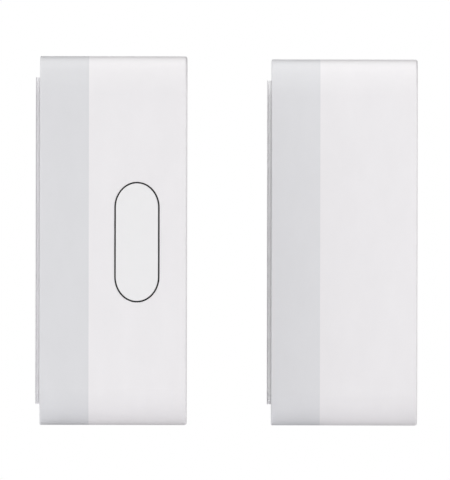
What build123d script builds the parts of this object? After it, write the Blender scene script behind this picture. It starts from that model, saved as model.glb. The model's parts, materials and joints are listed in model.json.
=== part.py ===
"""Wireless door contact: a battery-powered reed transmitter and its matching magnet unit.

Row frame: millimetres, +Z up along the long side of both housings, +Y into the wall,
so both housings stand out towards -Y.  The origin is the centre of the transmitter's
adhesive face.  The magnet unit stands to the +X side, on the door leaf, and is shown
with the door a little way open, so it has moved out along -Y.
"""

import math
import os

from build123d import *

os.makedirs("parts", exist_ok=True)

# ------------------------------------------------------------------ driving sizes
# housing shared by both units
W = 24.0  # width, X
H = 70.0  # height, Z
R = 6.8  # corner radius seen from the front
TAPE_T = 0.8  # adhesive foam thickness
TAPE_W, TAPE_H, TAPE_R = 16.0, 62.0, 3.2
BASE_D = 9.3  # rear shell depth
COVER_D = 18.6  # front shell depth
WALL = 1.5
EDGE_FRONT = 0.45  # fillet round the front face
EDGE_REAR = 0.2
SPLIT = TAPE_T + BASE_D  # parting plane, distance from the wall
FRONT = SPLIT + COVER_D  # front face, distance from the wall
LIP_OUT = 0.8  # the rear shell's tongue starts this far in from the outside
GROOVE = 0.7  # the front shell's rebate reaches this far in from the outside
LIP_H = 1.2

# where the magnet unit stands
MAG_X = 28.0  # centre to centre, leaving a 4 mm gap between the housings
MAG_OUT = 44.0  # how far the open door has carried it away from the wall

# push button in the -X side of the transmitter
BTN_D = 19.24  # button centre, distance from the wall
BTN_Z = -0.345
PILL_A = 4.14  # half width to the middle of the gap
PILL_H = 11.28  # half height to the middle of the gap
PILL_B = 4.72  # height of each rounded end
GAP = 0.29
WINDOW_EDGE = 0.1  # rounding of the window's outer rim
CAP_EDGE = 0.14  # rounding of the cap's outer rim
CAP_OUT = -W / 2 - 0.35  # the cap stands a little proud
SEAL_T = 0.3  # silicone ring between the wall and the flange
FLANGE_T = 0.8
FLANGE_GROW = 1.0
FLANGE_X = -W / 2 + WALL + SEAL_T + 0.02
ARM_Z = 16.0  # guide posts, above and below the button centre
POST_R, RING_BORE, RING_R = 0.8, 0.9, 1.8
TRAVEL = 0.4

# circuit board, parallel to the side wall
PCB_X = -4.6  # component face
PCB_T = 1.0
PCB_D0, PCB_D1 = 11.4, 26.4
PCB_Z = 31.0
SW = 6.0  # tactile switch, square
SW_H = 3.5
STEM_X = -8.75

# two size AAA cells, one behind the other
CELL_R, SLEEVE_T = 5.25, 0.1
CELL_L, NUB_L, NUB_R = 43.7, 0.8, 1.9
CELL_X = 3.2
CELL_REAR, CELL_FRONT = 9.75, 20.75  # axis distances from the wall
CONTACT_Z, SHEET_T = 25.5, 0.4

# reed switch
REED_D, REED_X = 24.3, -6.1
REED_Z0, REED_Z1 = 15.5, 27.5
GLASS_R, GLASS_BORE = 1.1, 0.8

# bar magnet
MAG_L, MAG_W, MAG_T = 40.0, 10.0, 5.0


def off_wall(d, x=0.0, out=0.0):
    """Plane parallel to the wall at distance d; its normal points away from the wall."""
    return Plane(origin=(x, -d - out, 0), x_dir=(1, 0, 0), z_dir=(0, -1, 0))


def side(x, d=0.0, z=0.0):
    """Plane across X; local x runs along +Y, local y along +Z, normal +X."""
    return Plane(origin=(x, -d, z), x_dir=(0, 1, 0), z_dir=(1, 0, 0))


def pill(a, h, b):
    """Closed upright outline with straight flanks and elliptical ends."""
    s = h - b
    Line((a, -s), (a, s))
    EllipticalCenterArc((0, s), a, b, start_angle=0, arc_size=180)
    Line((-a, s), (-a, -s))
    EllipticalCenterArc((0, -s), a, b, start_angle=180, arc_size=180)


def save(part, name, kind=None):
    part.label = name
    export_step(part, f"parts/{name}.step")


# =================================================================== TRANSMITTER
# ---- adhesive foam pad
with BuildPart() as sensor_adhesive_pad:
    with BuildSketch(off_wall(0)):
        RectangleRounded(TAPE_W, TAPE_H, TAPE_R)
    extrude(amount=TAPE_T)
save(sensor_adhesive_pad.part, "sensor_adhesive_pad")

# ---- rear shell: an open tray with a tongue round its rim
with BuildPart() as sensor_base:
    with BuildSketch(off_wall(TAPE_T)):
        RectangleRounded(W, H, R)
    extrude(amount=BASE_D)
    fillet(sensor_base.faces().sort_by(Axis.Y)[-1].edges(), EDGE_REAR)
    with BuildSketch(off_wall(TAPE_T + WALL)):
        RectangleRounded(W - 2 * WALL, H - 2 * WALL, R - WALL)
    extrude(amount=BASE_D - WALL, mode=Mode.SUBTRACT)
    with BuildSketch(off_wall(SPLIT)):
        RectangleRounded(W - 2 * LIP_OUT, H - 2 * LIP_OUT, R - LIP_OUT)
        RectangleRounded(W - 2 * WALL, H - 2 * WALL, R - WALL, mode=Mode.SUBTRACT)
    extrude(amount=LIP_H)
    # low ribs that keep the cells' foam pad in place
    with BuildSketch(off_wall(TAPE_T + WALL)):
        with Locations((CELL_X, 19.2), (CELL_X, -19.2)):
            Rectangle(8.0, 1.0)
        with Locations((CELL_X - 4.9, 0), (CELL_X + 4.9, 0)):
            Rectangle(1.0, 30.0)
    extrude(amount=1.0)
save(sensor_base.part, "sensor_base")

# ---- snap arms moulded on the rear shell's floor, hooking into the front shell's ends
ARM_IN, ARM_T, ARM_W = 32.2, 0.9, 7.0
HOOK_OUT = 34.1
ARM_END = 14.2
with BuildPart() as sensor_snap_arms:
    for s in (1, -1):
        with BuildSketch(Plane.YZ.offset(-ARM_W / 2)):
            with BuildLine():
                Polyline(
                    (-(TAPE_T + WALL), s * ARM_IN),
                    (-ARM_END, s * ARM_IN),
                    (-ARM_END, s * (ARM_IN + ARM_T + 0.1)),
                    (-(ARM_END - 1.2), s * HOOK_OUT),
                    (-(ARM_END - 1.2), s * (ARM_IN + ARM_T)),
                    (-(TAPE_T + WALL), s * (ARM_IN + ARM_T)),
                    close=True,
                )
            make_face()
        extrude(amount=ARM_W)
save(sensor_snap_arms.part, "sensor_snap_arms")

# ---- soft pad on the tray floor that steadies the rear cell
with BuildPart() as cell_foam_pad:
    with BuildSketch(off_wall(TAPE_T + WALL)):
        with Locations((CELL_X, 0)):
            RectangleRounded(7.6, 36.0, 0.8)
    extrude(amount=2.1)
save(cell_foam_pad.part, "cell_foam_pad")

# ---- front shell
with BuildPart() as sensor_cover:
    with BuildSketch(off_wall(SPLIT)):
        RectangleRounded(W, H, R)
    extrude(amount=COVER_D)
    fillet(sensor_cover.faces().sort_by(Axis.Y)[0].edges(), EDGE_FRONT)
    with BuildSketch(off_wall(SPLIT)):
        RectangleRounded(W - 2 * WALL, H - 2 * WALL, R - WALL)
    extrude(amount=COVER_D - WALL, mode=Mode.SUBTRACT)
    with BuildSketch(off_wall(SPLIT)):
        RectangleRounded(W - 2 * GROOVE, H - 2 * GROOVE, R - GROOVE)
    extrude(amount=LIP_H + 0.2, mode=Mode.SUBTRACT)
    # pockets for the snap arms in both end walls
    with BuildSketch(off_wall(ARM_END - 1.5)):
        with Locations((0, H / 2 - WALL + 0.4), (0, -(H / 2 - WALL + 0.4))):
            Rectangle(ARM_W + 1.0, 0.8)
    extrude(amount=2.0, mode=Mode.SUBTRACT)
    # screw bosses for the cell carrier
    with BuildSketch(off_wall(18.6)):
        with Locations((3.0, 29.5), (3.0, -29.5)):
            Circle(2.2)
        with Locations((3.0, 31.6), (3.0, -31.6)):
            Rectangle(1.0, 3.9)
    extrude(amount=FRONT - WALL - 18.6 + 0.2)
    with BuildSketch(off_wall(18.6)):
        with Locations((3.0, 29.5), (3.0, -29.5)):
            Circle(0.85)
    extrude(amount=6.6, mode=Mode.SUBTRACT)
    # button window through the -X wall
    with BuildSketch(side(-W / 2 - 1, BTN_D, BTN_Z)):
        with BuildLine():
            pill(PILL_A + GAP / 2, PILL_H + GAP / 2, PILL_B + GAP / 2)
        make_face()
    extrude(amount=WALL + 2.0, mode=Mode.SUBTRACT)
    fillet(sensor_cover.faces().sort_by(Axis.X)[0].inner_wires()[0].edges(), WINDOW_EDGE)
    # guide posts for the button's two arms
    with BuildSketch(side(-W / 2 + WALL - 0.3, BTN_D, BTN_Z)):
        with Locations((0, ARM_Z), (0, -ARM_Z)):
            Circle(POST_R)
    extrude(amount=3.3)
    # stiffening ribs inside the front wall
    with BuildSketch(off_wall(FRONT - WALL - 0.25)):
        with Locations((-7.6, 0), (9.9, 0)):
            Rectangle(0.8, 50.0)
    extrude(amount=0.4)
save(sensor_cover.part, "sensor_cover")

# ---- dark silicone ring glued inside the window, closing the gap round the cap
with BuildPart() as button_seal:
    with BuildSketch(side(-W / 2 + WALL, BTN_D, BTN_Z)):
        with BuildLine():
            pill(PILL_A + 0.9, PILL_H + 0.9, PILL_B + 0.9)
        make_face()
        with BuildLine():
            pill(PILL_A - GAP / 2 + 0.04, PILL_H - GAP / 2 + 0.04, PILL_B - GAP / 2 + 0.04)
        make_face(mode=Mode.SUBTRACT)
    extrude(amount=SEAL_T)
save(button_seal.part, "button_seal")

# ---- button cap: pill head, flange, guide arms with rings, centre stem
with BuildPart() as button_cap:
    with BuildSketch(side(CAP_OUT, BTN_D, BTN_Z)):
        with BuildLine():
            pill(PILL_A - GAP / 2, PILL_H - GAP / 2, PILL_B - GAP / 2)
        make_face()
    extrude(amount=FLANGE_X - CAP_OUT + 0.1)
    fillet(button_cap.faces().sort_by(Axis.X)[0].edges(), CAP_EDGE)
    with BuildSketch(side(FLANGE_X, BTN_D, BTN_Z)):
        with BuildLine():
            pill(PILL_A + FLANGE_GROW, PILL_H + FLANGE_GROW, PILL_B + FLANGE_GROW)
        make_face()
        Rectangle(2.4, 2 * ARM_Z)
        with Locations((0, ARM_Z), (0, -ARM_Z)):
            Circle(RING_R)
        with Locations((0, ARM_Z), (0, -ARM_Z)):
            Circle(RING_BORE, mode=Mode.SUBTRACT)
    extrude(amount=FLANGE_T)
    with BuildSketch(side(FLANGE_X + FLANGE_T, BTN_D, BTN_Z)):
        Circle(1.5)
    extrude(amount=STEM_X - FLANGE_X - FLANGE_T)
    with BuildSketch(side(FLANGE_X + FLANGE_T, BTN_D, BTN_Z)):
        Rectangle(0.8, 17.0)
        Rectangle(6.6, 0.8)
    extrude(amount=0.45)
save(button_cap.part, "button_cap")

# ---- return springs round the guide posts, between the rings and the board
SPR_R, SPR_WIRE = 1.2, 0.24
SPR_X0, SPR_X1 = FLANGE_X + FLANGE_T, PCB_X
with BuildPart() as button_return_springs:
    for s in (1, -1):
        with BuildLine() as coil:
            Helix(
                pitch=(SPR_X1 - SPR_X0 - SPR_WIRE - 0.04) / 5.5,
                height=SPR_X1 - SPR_X0 - SPR_WIRE - 0.04,
                radius=SPR_R,
                center=(SPR_X0 + SPR_WIRE / 2 + 0.02, -BTN_D, BTN_Z + s * ARM_Z),
                direction=(1, 0, 0),
            )
        with BuildSketch(Plane(coil.line @ 0, z_dir=coil.line % 0)):
            Circle(SPR_WIRE / 2)
        sweep(path=coil.line, is_frenet=True)
save(button_return_springs.part, "button_return_springs")

# ---- tactile switch
SW_TOP = PCB_X - SW_H
with BuildPart() as switch_body:
    with BuildSketch(side(SW_TOP + 0.25, BTN_D, BTN_Z)):
        RectangleRounded(SW, SW, 0.3)
    extrude(amount=SW_H - 0.25)
    with BuildSketch(side(SW_TOP, BTN_D, BTN_Z)):
        with GridLocations(4.4, 4.4, 2, 2):
            Circle(0.45)
    extrude(amount=0.4)
    with BuildSketch(side(SW_TOP, BTN_D, BTN_Z)):
        Circle(1.85)
    extrude(amount=0.95, mode=Mode.SUBTRACT)
save(switch_body.part, "switch_body")

with BuildPart() as switch_frame:
    with BuildSketch(side(SW_TOP + 0.03, BTN_D, BTN_Z)):
        RectangleRounded(SW - 0.3, SW - 0.3, 0.25)
        Circle(1.95, mode=Mode.SUBTRACT)
        with GridLocations(4.4, 4.4, 2, 2):
            Circle(0.5, mode=Mode.SUBTRACT)
    extrude(amount=0.22)
save(switch_frame.part, "switch_frame")

with BuildPart() as switch_plunger:
    with BuildSketch(side(STEM_X + 0.02, BTN_D, BTN_Z)):
        Circle(1.72)
    extrude(amount=SW_TOP + 0.45 - STEM_X - 0.02)
    chamfer(switch_plunger.faces().sort_by(Axis.X)[0].edges(), 0.12)
save(switch_plunger.part, "switch_plunger")

with BuildPart() as switch_terminals:
    for sy in (1, -1):
        for sz in (1, -1):
            # leg beside the body and its tail through the board
            with BuildSketch(side(PCB_X - 1.6, BTN_D, BTN_Z)):
                with Locations((sz * 2.25, sy * (SW / 2 + 0.2))):
                    Rectangle(0.7, 0.3)
            extrude(amount=1.6 + PCB_T + 0.25)
save(switch_terminals.part, "switch_terminals")

# ---- circuit board
REED_PIN = 1.7  # lead holes this far past the glass ends
TAIL_REAR, TAIL_FRONT = 13.4, 20.8  # contact tails, distance from the wall
with BuildPart() as circuit_board:
    with BuildSketch(side(PCB_X, (PCB_D0 + PCB_D1) / 2, 0)):
        RectangleRounded(PCB_D1 - PCB_D0, 2 * PCB_Z, 0.8)
    extrude(amount=PCB_T)
    with BuildSketch(side(PCB_X, 0, 0)):
        with Locations((-21.0, 29.2), (-21.0, -29.2)):
            Circle(0.9)
        with Locations((-TAIL_REAR, CONTACT_Z + 0.2), (-TAIL_FRONT, CONTACT_Z + 0.2)):
            Rectangle(2.4, 0.8)
        with Locations((-REED_D, REED_Z0 - REED_PIN), (-REED_D, REED_Z1 + REED_PIN)):
            Circle(0.35)
        for sy in (1, -1):
            for sz in (1, -1):
                with Locations((-BTN_D + sz * 2.25, BTN_Z + sy * (SW / 2 + 0.2))):
                    Rectangle(0.9, 0.5)
        # plated test holes in a row
        with Locations(*[(-12.6, -3.0 + 1.5 * k) for k in range(5)]):
            Circle(0.35)
    extrude(amount=PCB_T, mode=Mode.SUBTRACT)
save(circuit_board.part, "circuit_board")


def on_board(d, z, wd, hz, height, lift=0.0):
    """Box on the component face: centre d, z; width along Y, height along Z."""
    with BuildSketch(side(PCB_X - height - lift, d, z)) as outline:
        Rectangle(wd, hz)
    extrude(outline.sketch, amount=height)


with BuildPart() as radio_shield:
    with BuildSketch(side(PCB_X - 1.7, 19.0, -9.2)):
        RectangleRounded(12.4, 9.0, 0.5)
    extrude(amount=1.7)
    fillet(radio_shield.faces().sort_by(Axis.X)[0].edges(), 0.2)
    with BuildSketch(side(PCB_X - 1.5, 19.0, -9.2)):
        Rectangle(12.0, 8.6)
    extrude(amount=1.5, mode=Mode.SUBTRACT)
    # vent holes in the lid of the can
    with BuildSketch(side(PCB_X - 1.8, 19.0, -9.2)):
        with GridLocations(2.0, 2.0, 5, 3):
            Circle(0.3)
    extrude(amount=0.5, mode=Mode.SUBTRACT)
save(radio_shield.part, "radio_shield")

with BuildPart() as controller_chip:
    on_board(15.6, 7.4, 5.0, 5.0, 0.9)
    with BuildSketch(side(PCB_X - 0.95, 17.3, 9.1)):
        Circle(0.3)
    extrude(amount=0.1, mode=Mode.SUBTRACT)
save(controller_chip.part, "controller_chip")

with BuildPart() as crystal_can:
    on_board(21.4, 7.0, 2.5, 3.2, 0.75)
    fillet(crystal_can.edges().filter_by(Axis.X), 0.3)
save(crystal_can.part, "crystal_can")

with BuildPart() as reservoir_capacitor:
    on_board(23.6, 11.6, 2.8, 3.5, 1.9)
    chamfer(reservoir_capacitor.faces().sort_by(Axis.X)[0].edges(), 0.15)
save(reservoir_capacitor.part, "reservoir_capacitor")

with BuildPart() as status_led:
    on_board(12.9, 13.0, 1.2, 2.0, 0.35)
    on_board(12.9, 13.0, 1.2, 1.2, 0.75)
save(status_led.part, "status_led")

CAPS = [(19.6, 5.0), (19.6, 8.4), (12.2, 9.6), (12.2, 5.4), (16.0, 11.4), (24.6, 5.2),
        (24.6, -1.8), (14.0, -16.6), (16.2, -15.6), (23.6, -15.4), (22.8, 16.0), (16.0, 20.4)]
RESISTORS = [(18.4, 11.6), (20.6, 11.6), (12.2, 12.0 + 4.6), (14.2, 16.6), (14.2, 18.6),
             (24.6, 2.4), (13.9, -1.4), (24.6, -15.4), (12.4, -16.6), (18.6, 22.8)]
with BuildPart() as chip_capacitors:
    for d, z in CAPS:
        on_board(d, z, 0.8, 1.6, 0.8)
save(chip_capacitors.part, "chip_capacitors")
with BuildPart() as chip_resistors:
    for d, z in RESISTORS:
        on_board(d, z, 0.8, 1.5, 0.45)
save(chip_resistors.part, "chip_resistors")

# meandering printed aerial at the lower end of the board
with BuildPart() as printed_aerial:
    with BuildSketch(side(PCB_X - 0.07, 0, 0)):
        with Locations(*[(-18.8, -19.4 - 2.3 * k) for k in range(4)]):
            Rectangle(12.8, 0.9)
        with Locations((-24.75, -20.55), (-12.85, -22.85), (-24.75, -25.15)):
            Rectangle(0.9, 2.3)
    extrude(amount=0.07)
save(printed_aerial.part, "printed_aerial")

# ---- reed switch: glass tube, one fixed blade with its lead, one flexing blade, its lead
REED_MID = (REED_Z0 + REED_Z1) / 2
BLADE_T, BLADE_W = 0.16, 1.1
SEAL = 1.6  # length of solid glass at each end
with BuildPart() as reed_glass:
    with BuildSketch(Plane.XY.offset(REED_Z0)):
        with Locations((REED_X, -REED_D)):
            Circle(GLASS_R)
    extrude(amount=REED_Z1 - REED_Z0)
    fillet(
        reed_glass.faces().sort_by(Axis.Z)[0].edges()
        + reed_glass.faces().sort_by(Axis.Z)[-1].edges(),
        0.5,
    )
    with BuildSketch(Plane.XY.offset(REED_Z0 + SEAL)):
        with Locations((REED_X, -REED_D)):
            Circle(GLASS_BORE)
    extrude(amount=REED_Z1 - REED_Z0 - 2 * SEAL, mode=Mode.SUBTRACT)
    with BuildSketch(Plane.XY.offset(REED_Z0 - 0.1)):
        with Locations((REED_X, -REED_D)):
            Circle(0.25)
    extrude(amount=REED_Z1 - REED_Z0 + 0.2, mode=Mode.SUBTRACT)
save(reed_glass.part, "reed_glass")


def lead(z_glass, s, inner):
    """Round lead: out of the glass along Z, a bend, then through the board along +X."""
    with BuildLine() as path:
        FilletPolyline(
            (REED_X, -REED_D, inner),
            (REED_X, -REED_D, z_glass + s * REED_PIN),
            (PCB_X + PCB_T + 0.3, -REED_D, z_glass + s * REED_PIN),
            radius=0.6,
        )
    with BuildSketch(Plane(path.line @ 0, z_dir=path.line % 0)) as wire:
        Circle(0.24)
    sweep(wire.sketch, path=path.line)


with BuildPart() as reed_fixed_blade:
    lead(REED_Z0, -1, REED_Z0 + SEAL + 0.3)
    with BuildSketch(Plane.XY.offset(REED_Z0 + SEAL + 0.2)):
        with Locations((REED_X + 0.13, -REED_D)):
            Rectangle(BLADE_T, BLADE_W)
    extrude(amount=REED_MID + 0.6 - (REED_Z0 + SEAL + 0.2))
save(reed_fixed_blade.part, "reed_fixed_blade")

with BuildPart() as reed_upper_lead:
    lead(REED_Z1, 1, REED_Z1 - SEAL + 0.1)
save(reed_upper_lead.part, "reed_upper_lead")

with BuildPart() as reed_moving_blade:
    with BuildSketch(Plane.XY.offset(REED_MID - 0.6)):
        with Locations((REED_X - 0.13, -REED_D)):
            Rectangle(BLADE_T, BLADE_W)
    extrude(amount=REED_Z1 - SEAL - 0.05 - (REED_MID - 0.6))
save(reed_moving_blade.part, "reed_moving_blade")

# ---- cell carrier: chassis for both cells, the contacts and the board
PART_X0, PART_X1 = -3.3, -2.3
CAR_X1 = 9.7
CAR_Z = 26.9
CAR_FRONT, CAR_REAR = 26.9, 5.0
with BuildPart() as cell_carrier:
    # outer block of the trough, hollowed from the rear
    with BuildSketch(off_wall(CAR_REAR)):
        with Locations(((PART_X0 + CAR_X1) / 2, 0)):
            Rectangle(CAR_X1 - PART_X0, 2 * CAR_Z)
    extrude(amount=CAR_FRONT - CAR_REAR)
    with BuildSketch(off_wall(CAR_REAR)):
        with Locations(((PART_X1 + CAR_X1 - 1.0) / 2, 0)):
            Rectangle(CAR_X1 - 1.0 - PART_X1, 2 * (CAR_Z - 1.0))
    extrude(amount=CAR_FRONT - CAR_REAR - 0.8, mode=Mode.SUBTRACT)
    # cradle ribs under the front cell
    with BuildSketch(Plane.XY.offset(-14.6)):
        with Locations((CELL_X, -CELL_FRONT - 3.4)):
            Rectangle(10.9, 4.0)
        with Locations((CELL_X, -CELL_FRONT)):
            Circle(CELL_R + 0.12, mode=Mode.SUBTRACT)
    extrude(amount=1.0)
    with BuildSketch(Plane.XY.offset(13.6)):
        with Locations((CELL_X, -CELL_FRONT - 3.4)):
            Rectangle(10.9, 4.0)
        with Locations((CELL_X, -CELL_FRONT)):
            Circle(CELL_R + 0.12, mode=Mode.SUBTRACT)
    extrude(amount=1.0)
    # finger notch in the outer wall
    with BuildSketch(side(CAR_X1 - 1.5, 0, 0)):
        with Locations((-CAR_REAR, 0)):
            SlotOverall(30.0, 16.0, rotation=90)
    extrude(amount=2.0, mode=Mode.SUBTRACT)
    # partition carried past the trough to hold the board
    with BuildSketch(side(PART_X0, (PCB_D0 + PCB_D1) / 2, 0)):
        RectangleRounded(PCB_D1 - PCB_D0 - 1.0, 2 * PCB_Z - 1.0, 0.8)
    extrude(amount=PART_X1 - PART_X0)
    # board spacers and screw bosses
    with BuildSketch(side(PCB_X + PCB_T, 0, 0)):
        with Locations((-21.0, 29.2), (-21.0, -29.2)):
            Circle(1.7)
    extrude(amount=4.0)
    with BuildSketch(side(PCB_X + PCB_T, 0, 0)):
        with Locations((-15.0, 10.0), (-15.0, -10.0), (-24.0, 0)):
            Circle(0.8)
    extrude(amount=0.4)
    with BuildSketch(side(PCB_X + PCB_T - 0.1, 0, 0)):
        with Locations((-21.0, 29.2), (-21.0, -29.2)):
            Circle(0.65)
    extrude(amount=4.2, mode=Mode.SUBTRACT)
    # tabs that screw to the front shell
    with BuildSketch(off_wall(17.4)):
        with Locations((3.0, 28.6), (3.0, -28.6)):
            Rectangle(5.0, 3.8)
        with Locations((3.0, 29.5), (3.0, -29.5)):
            Circle(2.5)
    extrude(amount=1.2)
    with BuildSketch(off_wall(17.0)):
        with Locations((3.0, 29.5), (3.0, -29.5)):
            Circle(1.1)
    extrude(amount=2.0, mode=Mode.SUBTRACT)
    # slots that let the contact tails reach the board
    with BuildSketch(side(PART_X0 - 0.1, 0, 0)):
        with Locations((-TAIL_REAR, CONTACT_Z + 0.2), (-TAIL_FRONT, CONTACT_Z + 0.2)):
            Rectangle(2.4, 0.4)
    extrude(amount=1.2, mode=Mode.SUBTRACT)
    # clearance round the switch pins and the reed pins behind the board
    with BuildSketch(side(PART_X0 - 0.1, 0, 0)):
        for sy in (1, -1):
            with Locations((-BTN_D, BTN_Z + sy * (SW / 2 + 0.2))):
                Rectangle(6.4, 1.2)
        with Locations((-REED_D, REED_Z0 - REED_PIN), (-REED_D, REED_Z1 + REED_PIN)):
            Circle(0.6)
    extrude(amount=0.6, mode=Mode.SUBTRACT)
save(cell_carrier.part, "cell_carrier")

# ---- contacts
SHEET_X0, SHEET_X1 = -1.7, 8.1


def sheet(s, d0, d1, tail=None):
    with BuildSketch(Plane.XY.offset(CONTACT_Z if s > 0 else -CONTACT_Z - SHEET_T)) as blank:
        with Locations(((SHEET_X0 + SHEET_X1) / 2, -(d0 + d1) / 2)):
            RectangleRounded(SHEET_X1 - SHEET_X0, d1 - d0, 0.6)
        if tail:
            with Locations(((SHEET_X0 + PCB_X - 0.5) / 2, -tail)):
                Rectangle(SHEET_X0 - PCB_X + 0.5 + 1.0, 2.0)
    extrude(blank.sketch, amount=SHEET_T)


def dimple(s, d):
    """Raised round boss that meets a cell's positive nub."""
    with BuildSketch(Plane.XY.offset(s * CONTACT_Z)) as foot:
        with Locations((CELL_X, -d)):
            Circle(1.9)
    extrude(foot.sketch, amount=-s * 0.8, taper=25)


with BuildPart() as contact_positive:
    sheet(1, 5.8, 14.9, TAIL_REAR)
    dimple(1, CELL_REAR)
save(contact_positive.part, "contact_positive")

with BuildPart() as contact_negative:
    sheet(1, 16.0, 25.7, TAIL_FRONT)
save(contact_negative.part, "contact_negative")

with BuildPart() as contact_bridge:
    sheet(-1, 5.8, 25.7)
    dimple(-1, CELL_FRONT)
save(contact_bridge.part, "contact_bridge")

CELL_TOP = CONTACT_Z - 0.8  # positive nub end, above or below centre
CELL_END = CELL_TOP - CELL_L - NUB_L  # negative end
WIRE = 0.5


def cell_spring(s, d):
    """Conical coil from the contact sheet to a cell's negative end."""
    z0 = s * (CONTACT_Z - WIRE / 2 - 0.01)
    run = CONTACT_Z + CELL_END - WIRE - 0.04
    with BuildLine() as coil:
        Helix(
            pitch=run / 4.5,
            height=run,
            radius=3.1,
            center=(CELL_X, -d, z0),
            direction=(0, 0, -s),
            cone_angle=-13,
        )
    with BuildSketch(Plane(coil.line @ 0, z_dir=coil.line % 0)) as wire:
        Circle(WIRE / 2)
    sweep(wire.sketch, path=coil.line, is_frenet=True)


with BuildPart() as spring_upper:
    cell_spring(1, CELL_FRONT)
save(spring_upper.part, "spring_upper")
with BuildPart() as spring_lower:
    cell_spring(-1, CELL_REAR)
save(spring_lower.part, "spring_lower")


# ---- cells and their printed sleeves; s is the end that the positive nub points to
def cell(s, d):
    z_nub = s * CELL_TOP
    with BuildSketch(Plane.XY.offset(z_nub - s * NUB_L)) as can:
        with Locations((CELL_X, -d)):
            Circle(CELL_R - SLEEVE_T)
    extrude(can.sketch, amount=-s * CELL_L)
    with BuildSketch(Plane.XY.offset(z_nub - s * NUB_L)) as nub:
        with Locations((CELL_X, -d)):
            Circle(NUB_R)
    extrude(nub.sketch, amount=s * NUB_L)


def sleeve(s, d):
    z_top = s * (CELL_TOP - NUB_L)
    with BuildSketch(Plane.XY.offset(z_top - s * 0.35)) as ring:
        with Locations((CELL_X, -d)):
            Circle(CELL_R)
            Circle(CELL_R - SLEEVE_T, mode=Mode.SUBTRACT)
    extrude(ring.sketch, amount=-s * (CELL_L - 0.9))


with BuildPart() as cell_rear:
    cell(1, CELL_REAR)
    fillet(cell_rear.faces().sort_by(Axis.Z)[-1].edges(), 0.25)
    fillet(cell_rear.faces().sort_by(Axis.Z)[0].edges(), 0.3)
save(cell_rear.part, "cell_rear")
with BuildPart() as cell_front:
    cell(-1, CELL_FRONT)
    fillet(cell_front.faces().sort_by(Axis.Z)[0].edges(), 0.25)
    fillet(cell_front.faces().sort_by(Axis.Z)[-1].edges(), 0.3)
save(cell_front.part, "cell_front")
with BuildPart() as cell_sleeves:
    sleeve(1, CELL_REAR)
    sleeve(-1, CELL_FRONT)
save(cell_sleeves.part, "cell_sleeves")


# ---- screws
def screw(plane, at, head_r, head_h, shank_r, length):
    """Pan head with a cross recess; the plane is the seat, its normal points along the shank."""
    with BuildSketch(plane) as shank:
        with Locations(*at):
            Circle(shank_r)
    extrude(shank.sketch, amount=length)
    with BuildSketch(plane) as head:
        with Locations(*at):
            Circle(head_r)
    extrude(head.sketch, amount=-head_h, taper=12)
    with BuildSketch(plane.offset(-head_h)) as cross:
        with Locations(*at):
            Rectangle(head_r * 1.15, head_r * 0.3)
            Rectangle(head_r * 0.3, head_r * 1.15)
    extrude(cross.sketch, amount=head_h * 0.6, mode=Mode.SUBTRACT)


with BuildPart() as carrier_screws:
    screw(off_wall(17.4), [(3.0, 29.5), (3.0, -29.5)], 1.9, 1.4, 0.84, 6.4)
save(carrier_screws.part, "carrier_screws")
with BuildPart() as board_screws:
    screw(side(PCB_X, 0, 0), [(-21.0, 29.2), (-21.0, -29.2)], 1.45, 1.0, 0.64, 4.2)
save(board_screws.part, "board_screws")

# =================================================================== MAGNET UNIT
with BuildPart() as magnet_adhesive_pad:
    with BuildSketch(off_wall(0, MAG_X, MAG_OUT)):
        RectangleRounded(TAPE_W, TAPE_H, TAPE_R)
    extrude(amount=TAPE_T)
save(magnet_adhesive_pad.part, "magnet_adhesive_pad")

HOLD_SCREWS = [(2.6, 15.0), (2.6, -15.0)]
with BuildPart() as magnet_base:
    with BuildSketch(off_wall(TAPE_T, MAG_X, MAG_OUT)):
        RectangleRounded(W, H, R)
    extrude(amount=BASE_D)
    fillet(magnet_base.faces().sort_by(Axis.Y)[-1].edges(), EDGE_REAR)
    with BuildSketch(off_wall(TAPE_T + WALL, MAG_X, MAG_OUT)):
        RectangleRounded(W - 2 * WALL, H - 2 * WALL, R - WALL)
    extrude(amount=BASE_D - WALL, mode=Mode.SUBTRACT)
    with BuildSketch(off_wall(SPLIT, MAG_X, MAG_OUT)):
        RectangleRounded(W - 2 * LIP_OUT, H - 2 * LIP_OUT, R - LIP_OUT)
        RectangleRounded(W - 2 * WALL, H - 2 * WALL, R - WALL, mode=Mode.SUBTRACT)
    extrude(amount=LIP_H)
    # bosses for the holder's screws
    with BuildSketch(off_wall(TAPE_T + WALL, MAG_X, MAG_OUT)):
        with Locations(*HOLD_SCREWS):
            Circle(2.3)
    extrude(amount=2.0)
    with BuildSketch(off_wall(TAPE_T + WALL + 2.0, MAG_X, MAG_OUT)):
        with Locations(*HOLD_SCREWS):
            Circle(0.85)
    extrude(amount=-2.9, mode=Mode.SUBTRACT)
save(magnet_base.part, "magnet_base")

with BuildPart() as magnet_snap_arms:
    for s in (1, -1):
        with BuildSketch(Plane.YZ.offset(MAG_X - ARM_W / 2)):
            with BuildLine():
                Polyline(
                    (-(TAPE_T + WALL) - MAG_OUT, s * ARM_IN),
                    (-ARM_END - MAG_OUT, s * ARM_IN),
                    (-ARM_END - MAG_OUT, s * (ARM_IN + ARM_T + 0.1)),
                    (-(ARM_END - 1.2) - MAG_OUT, s * HOOK_OUT),
                    (-(ARM_END - 1.2) - MAG_OUT, s * (ARM_IN + ARM_T)),
                    (-(TAPE_T + WALL) - MAG_OUT, s * (ARM_IN + ARM_T)),
                    close=True,
                )
            make_face()
        extrude(amount=ARM_W)
save(magnet_snap_arms.part, "magnet_snap_arms")

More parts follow.
